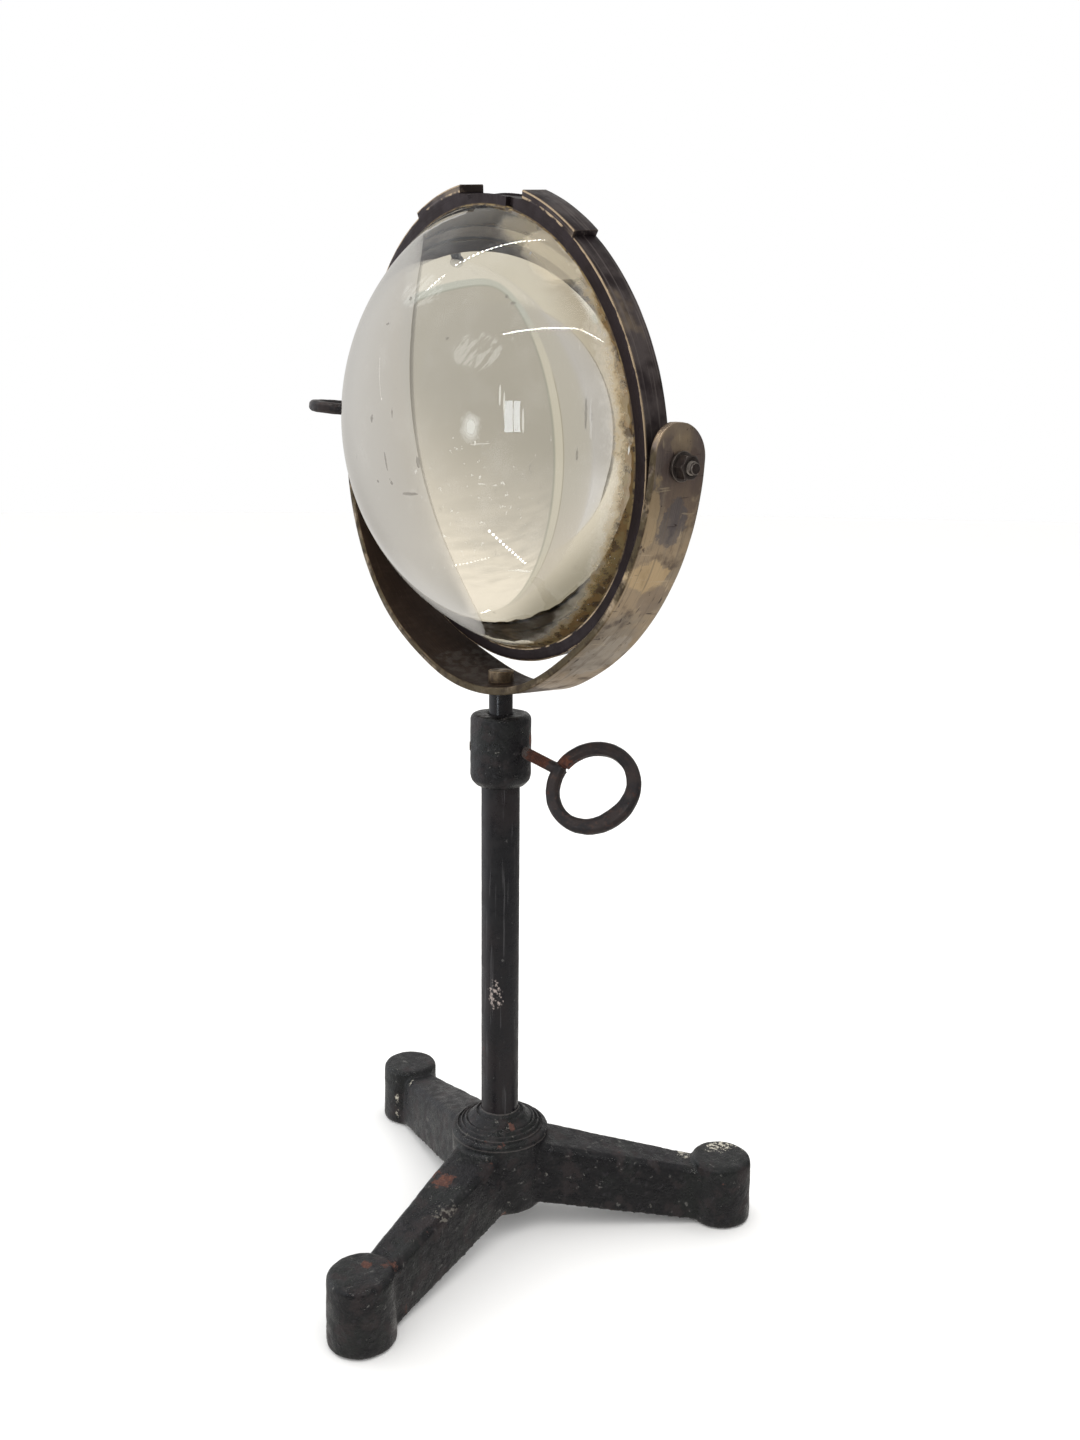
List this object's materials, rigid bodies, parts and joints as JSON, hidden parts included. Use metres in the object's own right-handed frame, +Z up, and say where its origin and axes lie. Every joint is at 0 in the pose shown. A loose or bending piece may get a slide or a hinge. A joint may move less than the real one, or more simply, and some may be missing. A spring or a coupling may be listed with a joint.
{
  "type": "lens on stand",
  "caption": "Large plano-convex demonstration lens in a dark brass ring, tilting in a bronze yoke that turns and slides on a three-legged iron stand with a ring-headed clamp screw.",
  "frame": {"origin": "on the column's axis, level with the soles of the three feet", "axes": "+Z up along the column, which is the longest extent; the lens faces -Y, tipped 8 degrees down; +X is the nut side of the pivot axis, which is 6.7 degrees lower at +X"},
  "size_m": [0.248, 0.1985, 0.4385],
  "materials": {
    "japanned_iron": "black japanned cast iron, worn and chipped",
    "japanned_tube": "black japanned steel tube",
    "dark_steel": "plain steel, browned with age",
    "rusty_iron": "dark wrought iron with rust in the threads",
    "worn_bronze": "tarnished bronze strap, brown-grey with brighter edges",
    "dark_brass": "dark lacquered brass, worn bright along the edges",
    "aged_brass": "plain brass, dulled",
    "lens_glass": "clear polished glass, faintly green"
  },
  "bodies": {
    "stand": {"tripod_casting": "japanned_iron", "column_tube": "japanned_tube", "column_washer": "dark_steel", "column_nut": "dark_steel", "socket_collar": "japanned_iron", "collar_grub_screw": "dark_steel"},
    "clamp": {"clamp_thumb_screw": "rusty_iron"},
    "rod": {"slide_rod": "japanned_tube", "yoke_screw": "aged_brass"},
    "yoke": {"yoke_strap": "worn_bronze"},
    "cell": {"lens_ring": "dark_brass", "lens_glass": "lens_glass", "retaining_ring": "dark_brass", "pivot_stud": "dark_steel", "pivot_lock_nut": "aged_brass", "pivot_washer": "aged_brass", "pivot_nut": "dark_steel", "tilt_spacer": "aged_brass", "tilt_washer": "aged_brass"},
    "tilt_screw": {"tilt_thumb_screw": "rusty_iron"}
  },
  "joints": [
    {"name": "clamp_screw_turn", "type": "hinge", "parent": "stand", "child": "clamp", "pos_m": [0, 0, 0.2196], "axis": [0.9245, 0.2599, -0.279], "continuous": true},
    {"name": "height_slide", "type": "slide", "parent": "stand", "child": "rod", "axis": [0, 0, 1], "range_m": [-0.009, 0.1]},
    {"name": "yoke_swivel", "type": "hinge", "parent": "rod", "child": "yoke", "pos_m": [0, 0, 0.2405], "axis": [0, 0, 1], "continuous": true},
    {"name": "lens_tilt", "type": "hinge", "parent": "yoke", "child": "cell", "pos_m": [0, 0, 0.345], "axis": [0.9932, 0, -0.1167], "continuous": true},
    {"name": "tilt_screw_turn", "type": "hinge", "parent": "cell", "child": "tilt_screw", "pos_m": [0, 0, 0.345], "axis": [0.9932, 0, -0.1167], "continuous": true}
  ]
}
